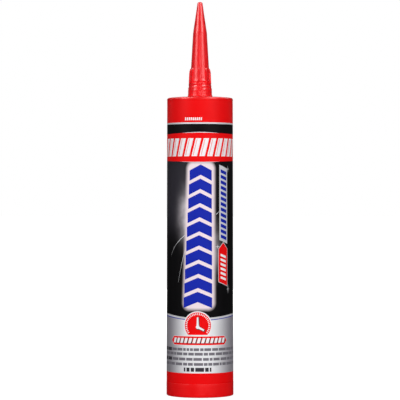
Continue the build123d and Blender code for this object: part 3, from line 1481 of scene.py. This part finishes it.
@dataclass
class Nozzle:
    """The screw-on nozzle: flange, threaded skirt, eight fins and a long cone with a closed tip."""

    barrel: Barrel
    base_z: float = field(default_factory=lambda: bottom("nozzle"))
    tip_z: float = field(default_factory=lambda: top("nozzle"))
    wall: float = 1.3
    tip_radius: float = 1.75
    tip_round: float = 1.1
    tip_steps: int = 6
    tip_wall: float = 2.0
    tip_cone: float = 23.3
    kink_radius: float = 5.19
    cone_draft: float = 3.33
    skirt: float = 12.0
    thread_bore: float = 7.38
    skirt_wall: float = 1.0
    skirt_draft: float = 2.6
    step: float = 0.3
    riser: float = 0.05
    collar: float = 7.3
    flange: float = 1.4
    roof_z: float = 231.95
    fin_count: int = 8
    fin_rise: float = 10.2
    fin_straight: float = 0.58
    crown_bow: float = 1.8
    crown_ease: float = 0.9
    fin_tip_degrees: float = 3.0
    fin_root_degrees: float = 5.0
    fin_fillet_power: float = 3.0
    fin_start_degrees: float = 264.0
    ledge_drop: float = 0.75
    foot_undercut: float = 1.1
    foot_undercut_degrees: float = 15.0
    foot_lean: float = 1.7
    foot_lean_degrees: float = 10.0
    flatness: float = 0.2
    sink: float = 0.22
    sink_shift: float = 0.09
    sink_margin: float = 0.6
    # The sinks grow between these heights above the base, and go between these depths below the shelf
    sink_fade_in: Point = (2.0, 7.0)
    sink_fade_out: Point = (1.0, 0.2)
    thread_margins: Point = (0.8, 0.4)
    thread_shift: float = 0.5
    rim_rounding: float = 0.25
    fine_rounding: float = 0.03
    kink_rounding: float = 5.0
    step_margins: Point = (0.2, 0.7)
    kink_margin: float = 1.2
    skirt_ring_step: float = 0.3
    ledge_ring_step: float = 0.2
    fin_ring_step: float = 0.28
    cone_ring_step: float = 6.0
    bore_ring_step: float = 0.24
    bore_tolerance: float = 0.01
    cone_tolerance: float = 0.2
    segments: int = 360
    thread: Thread = Thread()

    @property
    def ledge_z(self) -> float:
        """Height of the ledge between the fins."""
        return self.barrel.shoulder_z + self.skirt

    @property
    def shelf_z(self) -> float:
        """Height of the narrow shelf at the foot of the walls between the fins."""
        return self.ledge_z - self.ledge_drop

    @property
    def fin_top_z(self) -> float:
        """Height at which the fins run out on the cone."""
        return self.ledge_z + self.fin_rise

    def cone_radius(self, height: float) -> float:
        """Radius of the long cone."""
        return self.kink_radius + taper(self.tip_z - self.tip_cone - height, self.cone_draft)

    def skirt_radius(self, height: float) -> float:
        """Radius of the skirt, which the fins' outer edges carry on."""
        return self.thread_bore + self.skirt_wall + taper(self.ledge_z - height, self.skirt_draft)

    def crown_radius(self, height: float) -> float:
        """Gives the radius of the fins' outer edge, which is straight and then rounds over to the cone.

        Args:
            height: The height of the place on the edge.

        Returns:
            The radius there.
        """
        bend = self.ledge_z + self.fin_rise * self.fin_straight
        if height <= bend:
            return self.skirt_radius(height)
        share = min(1.0, (height - bend) / (self.fin_top_z - bend))
        depth = self.skirt_radius(bend) - self.cone_radius(self.fin_top_z)
        bow = 1 - math.sqrt(max(0.0, 1 - share**self.crown_bow))
        return self.skirt_radius(bend) - depth * bow**self.crown_ease

    def valley_radius(self, height: float) -> float:
        """Gives the radius between two fins: undercut at its foot, then leaning in to the cone.

        Args:
            height: The height of the place between them.

        Returns:
            The radius there.
        """
        turn_z = self.shelf_z + self.foot_undercut
        lean_z = turn_z + self.foot_lean
        lean = taper(lean_z - max(height, turn_z), self.foot_lean_degrees)
        undercut = taper(turn_z - min(height, turn_z), self.foot_undercut_degrees)
        return self.cone_radius(max(height, lean_z)) + max(lean, 0.0) - undercut

    def outlines(self) -> tuple[list[Point], list[Point]]:
        """Sets out the section of the wall.

        Returns:
            The outside, from the base up to the rim of the tip, and the channel and the threaded
            bore, from the tip down to the base.
        """
        collar_z = self.barrel.shoulder_z + self.collar
        collar_radius = self.skirt_radius(collar_z) + self.step
        flange_radius = collar_radius + self.step
        flange_z = self.base_z + self.flange
        kink_z = self.tip_z - self.tip_cone
        fine = self.fine_rounding
        foot = rounded(
            [
                (self.thread_bore, self.base_z, 0),
                (flange_radius, self.base_z, self.rim_rounding),
                (flange_radius, flange_z, fine),
                (collar_radius, flange_z + self.riser, fine),
                (collar_radius, collar_z, 0),
            ]
        )
        below, above = collar_z - self.step_margins[0], collar_z + self.step_margins[1]
        collar_steps = steps_between(foot[-2][1], below, self.skirt_ring_step)[1:]
        collar = [(collar_radius, z) for z in collar_steps]
        step = rounded(
            [
                (collar_radius, below, 0),
                (collar_radius, collar_z, fine),
                (self.skirt_radius(collar_z), collar_z + self.riser, fine),
                (self.skirt_radius(above), above, 0),
            ]
        )
        lean_z = self.shelf_z + self.foot_undercut + self.foot_lean
        ledge = [self.shelf_z, *steps_between(self.shelf_z + self.riser, lean_z, self.ledge_ring_step)]
        skirt_steps = steps_between(above, ledge[0], self.skirt_ring_step)[1:-1]
        skirt = [(self.skirt_radius(z), z) for z in skirt_steps]
        crown = [*ledge, *steps_between(ledge[-1], self.fin_top_z, self.fin_ring_step)[1:]]
        fins = [(self.crown_radius(z), z) for z in crown]
        cone_end = kink_z - self.kink_margin
        cone_steps = steps_between(self.fin_top_z, cone_end, self.cone_ring_step)[1:]
        cone = [(self.cone_radius(z), z) for z in cone_steps]
        tip = rounded(
            [
                (self.cone_radius(cone_end), cone_end, 0),
                (self.kink_radius, kink_z, self.kink_rounding),
                (self.tip_radius, self.tip_z, self.tip_round),
                (0, self.tip_z, 0),
            ],
            self.tip_steps,
        )
        outer = [*foot[:-1], *collar, *step[1:], *skirt, *fins, *cone, *tip[1:-1]]
        channel = self.cone_radius(self.ledge_z) - self.wall
        inner = [
            (self.tip_radius - self.wall, self.tip_z - self.tip_wall),
            (self.kink_radius - self.wall, kink_z),
            (channel, self.ledge_z),
            (channel, self.roof_z),
            (self.thread_bore, self.roof_z),
        ]
        bore_steps = steps_between(self.base_z, self.roof_z, self.bore_ring_step)[::-1][1:]
        return outer, [*inner, *((self.thread_bore, z) for z in bore_steps)]

    def build(self) -> None:
        """Models the wall, hollows it, and moulds its fins, its thread and the sinks over the thread."""
        outer, inner = self.outlines()
        piece = turned("nozzle_moulding", [*outer, (0, self.tip_z)], self.segments)
        core = turned("nozzle_channel", [(0, inner[0][1]), *inner], self.segments)
        bpy.ops.object.select_all(action="DESELECT")
        core.select_set(True)
        piece.select_set(True)
        bpy.context.view_layer.objects.active = piece
        bpy.ops.object.join()
        bpy.ops.object.mode_set(mode="EDIT")
        close_mesh(piece)
        move_points(piece, self.moulded)
        smooth(piece)
        piece.data.materials.append(NOZZLE_PLASTIC.material())
        seat(piece, "nozzle", "nozzle")

    def moulded(self, radius: float, height: float, turn: float) -> float:
        """Gives the radius of a point once the fins, the sinks and the thread are moulded.

        Args:
            radius: The point's radius on the turned wall.
            height: The point's height.
            turn: The point's turn about the axis, in radians.

        Returns:
            The new radius.
        """
        low, high = self.base_z + self.thread_margins[0], self.roof_z - self.thread_margins[1]
        if abs(radius - self.thread_bore) < self.bore_tolerance and low < height < high:
            return radius - self.thread.rise(height, turn, low, high, self.thread_shift)
        if radius < self.cone_radius(height) - self.cone_tolerance or height > self.fin_top_z:
            return radius
        if height > self.shelf_z + self.riser / 2:
            return self.finned(radius, height, turn)
        if height < self.base_z + self.flange + self.sink_margin:
            return radius
        phase = height / self.thread.pitch - turn / TURN - self.sink_shift
        risen, left = height - self.base_z, self.shelf_z - height
        (none, full), (going, gone) = self.sink_fade_in, self.sink_fade_out
        fade = smooth_step((risen - none) / (full - none)) * smooth_step((left - gone) / (going - gone))
        return radius - self.sink * fade * (0.5 - 0.5 * math.cos(TURN * phase)) ** 2

    def finned(self, radius: float, height: float, turn: float) -> float:
        """Gives the radius of a point on a fin, on its flank or between two of them.

        Args:
            radius: The radius of the fins' outer edge there.
            height: The point's height.
            turn: The point's turn about the axis, in radians.

        Returns:
            The new radius.
        """
        pitch = TURN / self.fin_count
        away = (turn - math.radians(self.fin_start_degrees) + pitch / 2) % pitch - pitch / 2
        flank = self.fin_root_degrees - self.fin_tip_degrees
        down = min(max((abs(math.degrees(away)) - self.fin_tip_degrees) / flank, 0.0), 1.0)
        fin = 1 - down**self.fin_fillet_power
        off_centre = pitch / 2 - abs(away)
        edge = pitch / 2 - math.radians(self.fin_root_degrees)
        flat = math.cos(edge) / math.cos(min(off_centre, edge))
        valley = min(radius, self.valley_radius(height) * (1 + (flat - 1) * self.flatness))
        return valley + (radius - valley) * fin


@dataclass
class Piston:
    """The piston: a moulded cup with a wiper lip at each end, and ribs and a hub behind its face."""

    radius: float = field(default_factory=lambda: reach("piston"))
    rear_z: float = field(default_factory=lambda: bottom("piston"))
    front_z: float = field(default_factory=lambda: top("piston"))
    lip: float = 1.4
    lead_in: float = 1.2
    relief: float = 0.9
    slope: float = 1.5
    wall: float = 1.5
    face: float = 1.8
    rib_count: int = 8
    rib_thickness: float = 1.2
    rib_height: float = 9.0
    rib_bite_share: float = 1 / 3
    hub_radius: float = 6.5
    hub_wall: float = 1.3
    nose_rounding: float = 0.5
    lip_roundings: Point = (0.3, 0.15)
    rim_roundings: Point = (0.25, 0.3)
    inner_rounding: float = 0.8
    hub_roundings: Point = (0.4, 0.25)
    rib_rounding: float = 0.2
    segments: int = 192

    def build(self) -> None:
        """Models the cup, its hub and its ribs as one moulding."""
        waist = self.radius - self.relief
        cup = waist - self.wall
        back = self.front_z - self.face
        front_lip = self.front_z - self.lead_in
        half = self.lip / 2
        lead, heel = self.lip_roundings
        rim_outside, rim_inside = self.rim_roundings
        hub_foot, hub_edge = self.hub_roundings
        hub_bore, hub_z = self.hub_radius - self.hub_wall, back - self.rib_height
        outline = rounded(
            [
                (0, self.front_z, 0),
                (self.radius - self.lead_in, self.front_z, self.nose_rounding),
                (self.radius, front_lip, lead),
                (self.radius, front_lip - self.lip, heel),
                (waist, front_lip - self.lip - self.slope, half),
                (waist, self.rear_z + self.lip + self.slope, half),
                (self.radius, self.rear_z + self.lip, heel),
                (self.radius, self.rear_z, rim_outside),
                (cup, self.rear_z, rim_inside),
                (cup, back, self.inner_rounding),
                (self.hub_radius, back, hub_foot),
                (self.hub_radius, hub_z, hub_edge),
                (hub_bore, hub_z, hub_edge),
                (hub_bore, back, hub_foot),
                (0, back, 0),
            ]
        )
        piece = turned("piston_moulding", outline, self.segments)
        piece.data.materials.append(PISTON_PLASTIC.material())
        seat(piece, "piston", "piston")
        self.ribs(cup, back)

    def ribs(self, cup: float, back: float) -> None:
        """Models one rib, spins its copies round the hub and rounds their free edges.

        Args:
            cup: Inner radius of the cup.
            back: Height of the face's rear side.
        """
        inside = self.hub_radius - self.hub_wall / 2
        outside = cup + self.wall * self.rib_bite_share
        bpy.ops.object.select_all(action="DESELECT")
        bpy.ops.mesh.primitive_plane_add(size=MM, location=(0, 0, 0))
        piece = start_mesh("piston_ribs")
        size = (outside - inside, self.rib_thickness, 1)
        bpy.ops.transform.resize(value=size, center_override=(0, 0, 0))
        foot = (back - self.rib_height) * MM
        bpy.ops.transform.translate(value=((inside + outside) / 2 * MM, 0, foot))
        bpy.ops.mesh.select_mode(type="FACE")
        bpy.ops.mesh.select_all(action="SELECT")
        rise = (self.rib_height + self.face * self.rib_bite_share) * MM
        bpy.ops.mesh.extrude_region_move(TRANSFORM_OT_translate={"value": (0, 0, rise)})
        bpy.ops.mesh.select_all(action="SELECT")
        around = {"center": (0, 0, 0), "axis": (0, 0, 1)}
        bpy.ops.mesh.spin(steps=self.rib_count, dupli=True, angle=TURN, **around)
        close_mesh(piece)
        edge = piece.modifiers.new("rounding", "BEVEL")
        edge.width = self.rib_rounding * MM
        edge.segments = 2
        bpy.ops.object.modifier_apply(modifier=edge.name)
        smooth(piece)
        piece.data.materials.append(PISTON_PLASTIC.material())
        seat(piece, "piston")


@dataclass
class Filling:
    """The adhesive behind the shoulder and in the neck, and the foil over the neck's mouth."""

    barrel: Barrel
    radius: float = field(default_factory=lambda: reach("adhesive"))
    rear_z: float = field(default_factory=lambda: bottom("adhesive"))
    neck_z: float = field(default_factory=lambda: top("adhesive"))
    gap: float = 0.1
    rear_rounding: float = 0.4
    plug_roundings: Point = (0.1, 0.3)
    crushed_share: float = 0.006
    foil_radius: float = field(default_factory=lambda: reach("neck_seal"))
    foil_sink: float = 0.05
    foil_press: float = 0.2
    press_rounding: float = 0.1
    foil_edges: Point = (0.02, 0.05)
    segments: int = 128

    def build(self) -> None:
        """Models the charge, the plug in the neck and the foil."""
        inner_z = self.barrel.shoulder_z - self.barrel.shoulder
        front_z = inner_z - self.gap
        paste = Paste().material()
        charge = self.turned_paste("adhesive_charge", self.charge_corners(front_z), paste)
        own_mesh(charge)
        neck = self.barrel.neck_bore - self.gap
        foot, head = self.plug_roundings
        plug = [(0, front_z, 0), (neck, front_z, foot), (neck, self.neck_z, head), (0, self.neck_z, 0)]
        self.turned_paste("adhesive_in_neck", plug, paste)
        self.foil()

    def charge_corners(self, front_z: float) -> list[Corner]:
        """Sets out the charge's half section, which fills the barrel's inner corner.

        Args:
            front_z: The height of the charge's front.

        Returns:
            The corners, from the axis round to the axis again.
        """
        corner = self.barrel.inner_corner
        return [
            (0, self.rear_z, 0),
            (self.radius, self.rear_z, self.rear_rounding),
            (self.radius, front_z - corner, 0),
            (self.radius - corner, front_z, 0),
            (0, front_z, 0),
        ]

    def turned_paste(
        self, name: str, corners: list[Corner], paste: bpy.types.Material
    ) -> bpy.types.Object:
        """Models a piece of paste.

        Args:
            name: The piece's name.
            corners: The corners of its half section.
            paste: What it is made of.

        Returns:
            The piece.
        """
        piece = turned(name, rounded(corners), self.segments)
        piece.data.materials.append(paste)
        seat(piece, "barrel", "adhesive")
        return piece

    def foil(self) -> None:
        """Models the foil, which is pressed down inside the mouth of the neck."""
        low, high = bottom("neck_seal"), top("neck_seal")
        bore, press, bend = self.barrel.neck_bore, self.foil_press, self.press_rounding
        outline = [
            (0, low, 0),
            (self.foil_radius, low, self.foil_edges[0]),
            (self.foil_radius, high, self.foil_edges[1]),
            (bore + press, high, bend),
            (bore - press, high - self.foil_sink, bend),
            (0, high - self.foil_sink, 0),
        ]
        foil = turned("mouth_foil", rounded(outline), self.segments)
        foil.data.materials.append(RolledFoil().material())
        seat(foil, "barrel", "neck_seal")


@dataclass(frozen=True)
class Softbox:
    """A rectangular lamp that faces the cartridge, placed by its turn from the camera and its rise.

    Its level is how bright its face is, where white paper in plain light is one.
    """

    name: str
    turn: float
    rise: float
    distance: float
    size: Point
    level: float
    lights: bool = True
    mirrored: bool = True

    def build(self, aim: Vector) -> None:
        """Adds the lamp.

        Args:
            aim: The point that it faces, in metres.
        """
        turn, rise = math.radians(self.turn), math.radians(self.rise)
        level = Vector((math.sin(turn), -math.cos(turn), 0.0)) * math.cos(rise)
        towards = level + Vector((0, 0, math.sin(rise)))
        lamp = bpy.data.lights.new(self.name, "AREA")
        lamp.shape = "RECTANGLE"
        lamp.size, lamp.size_y = self.size
        lamp.energy = self.level * math.pi * self.size[0] * self.size[1]
        holder = bpy.data.objects.new(self.name, lamp)
        bpy.context.scene.collection.objects.link(holder)
        holder.location = aim + towards * self.distance
        holder.rotation_euler = towards.to_track_quat("Z", "Y").to_euler()
        holder.visible_diffuse = self.lights
        holder.visible_glossy = self.mirrored


@dataclass
class Studio:
    """A white room with softboxes, a pale floor and the camera."""

    eye: tuple[float, float, float] = (0.0, -1.43, 0.1454)
    focal_mm: float = 172.3
    aim_z: float = 0.15
    lamps: tuple[Softbox, ...] = (
        Softbox("strip_left", -54.0, 29.6, 1.09, (0.42, 0.66), 5.5, lights=False),
        Softbox("strip_right", 42.0, 29.6, 1.09, (0.42, 0.66), 5.5, lights=False),
        Softbox("gleam_left", -76.0, 57.0, 0.95, (0.42, 0.55), 11.0, lights=False),
        Softbox("gleam_right", 72.0, 57.0, 0.95, (0.42, 0.55), 11.0, lights=False),
        Softbox("fill_front", 5.5, 7.0, 1.64, (1.0, 0.8), 9.0, mirrored=False),
        Softbox("fill_back", 174.5, 7.0, 1.64, (1.0, 0.8), 9.0, mirrored=False),
    )
    corners: tuple[Point, ...] = ((-54.0, 3.5), (42.0, 2.7), (-132.0, 3.5), (125.0, 2.7))
    crown_rise: float = 43.4
    crown_distance: float = 0.84
    crown_size: Point = (0.42, 0.35)
    crown_level: float = 4.5
    overhead_level: float = 2.1
    wrap_rise: float = 12.0
    wrap_distance: float = 1.2
    wrap_size: Point = (0.5, 0.5)
    room_light: float = 0.02
    mirrored_room: float = 0.03
    floor_colour: str = "909090"
    mirrored_floor: str = "343434"
    floor_size: float = 30.0
    floor_roughness: float = 0.9
    near_lift: float = 0.9
    far_lift: float = 1.1
    lift_span: Point = (0.15, 0.7)
    clip_start: float = 0.05

    def build(self) -> None:
        """Sets up floor, world, lights and camera."""
        self.floor()
        self.world()
        for lamp in (*self.lamps, *self.corner_lamps()):
            lamp.build(Vector((0, 0, self.aim_z)))
        camera = bpy.data.cameras.new("camera")
        camera.lens = self.focal_mm
        camera.clip_start = self.clip_start
        holder = bpy.data.objects.new("camera", camera)
        bpy.context.scene.collection.objects.link(holder)
        holder.location = self.eye
        holder.rotation_euler = (TURN / 4, 0, 0)
        bpy.context.scene.camera = holder
        bpy.context.scene.view_settings.view_transform = "Standard"

    def corner_lamps(self) -> list[Softbox]:
        """Sets out the lamps at the room's corners: one for gloss, one from above, one that wraps.

        Returns:
            The lamps.
        """
        lamps = []
        for turn, wrap in self.corners:
            high = (turn, self.crown_rise, self.crown_distance, self.crown_size)
            low = (turn, self.wrap_rise, self.wrap_distance, self.wrap_size)
            lamps += [
                Softbox(f"crown_{turn:.0f}", *high, self.crown_level, lights=False),
                Softbox(f"overhead_{turn:.0f}", *high, self.overhead_level, mirrored=False),
                Softbox(f"wrap_{turn:.0f}", *low, wrap, mirrored=False),
            ]
        return lamps

    def world(self) -> None:
        """Makes the room white to the camera, and dimmer in gloss and where it lights the cartridge."""
        world = bpy.data.worlds.new("room")
        bpy.context.scene.world = world
        world.use_nodes = True
        tree = world.node_tree
        room = tree.nodes["Background"]
        room.inputs["Color"].default_value = (1.0, 1.0, 1.0, 1.0)
        path = add_node(tree, "ShaderNodeLightPath", {}, {}).outputs
        glossy = path["Is Glossy Ray"]
        inputs = {0: path["Is Camera Ray"], 1: path["Is Transmission Ray"]}
        seen = add_node(tree, "ShaderNodeMath", {"operation": "MAXIMUM"}, inputs).outputs["Value"]
        spread = {"Value": glossy, "To Min": self.room_light, "To Max": self.mirrored_room}
        dim = add_node(tree, "ShaderNodeMapRange", {}, spread).outputs["Result"]
        level = add_node(tree, "ShaderNodeMath", {"operation": "MAXIMUM"}, {0: seen, 1: dim})
        tree.links.new(level.outputs["Value"], room.inputs["Strength"])

    def floor(self) -> None:
        """Lays the floor, which is lifted to white for the camera, more so away from the cartridge."""
        bpy.ops.object.select_all(action="DESELECT")
        bpy.ops.mesh.primitive_plane_add(size=self.floor_size, location=(0, 0, 0))
        sweep = bpy.context.object
        sweep.name = "floor"
        made, tree, shader = new_material("matt_white_floor")
        path = add_node(tree, "ShaderNodeLightPath", {}, {}).outputs
        plain, mirrored = linear(self.floor_colour), linear(self.mirrored_floor)
        inputs = {"Factor": path["Is Glossy Ray"], "A": plain, "B": mirrored}
        paint = add_node(tree, "ShaderNodeMix", {"data_type": "RGBA"}, inputs)
        tree.links.new(paint.outputs["Result"], shader.inputs["Base Color"])
        shader.inputs["Roughness"].default_value = self.floor_roughness
        shader.inputs["Specular IOR Level"].default_value = 0.0
        place = add_node(tree, "ShaderNodeTexCoord", {}, {}).outputs["Object"]
        away = add_node(tree, "ShaderNodeVectorMath", {"operation": "LENGTH"}, {0: place}).outputs
        spread = {
            "Value": away["Value"],
            "From Min": self.lift_span[0],
            "From Max": self.lift_span[1],
            "To Min": self.near_lift,
            "To Max": self.far_lift,
        }
        lift = add_node(tree, "ShaderNodeMapRange", {}, spread).outputs["Result"]
        inputs = {0: lift, 1: path["Is Camera Ray"]}
        seen = add_node(tree, "ShaderNodeMath", {"operation": "MULTIPLY"}, inputs)
        shader.inputs["Emission Color"].default_value = (1.0, 1.0, 1.0, 1.0)
        tree.links.new(seen.outputs["Value"], shader.inputs["Emission Strength"])
        sweep.data.materials.append(made)


def main() -> None:
    """Builds the cartridge, its stage and its camera."""
    logging.basicConfig(level=logging.INFO, format="%(name)s: %(message)s")
    Studio().build()
    barrel = Barrel()
    barrel.build()
    label = Label(barrel)
    label.build()
    Artwork(label).build()
    Nozzle(barrel).build()
    Piston().build()
    Filling(barrel).build()


if __name__ == "__main__":
    main()
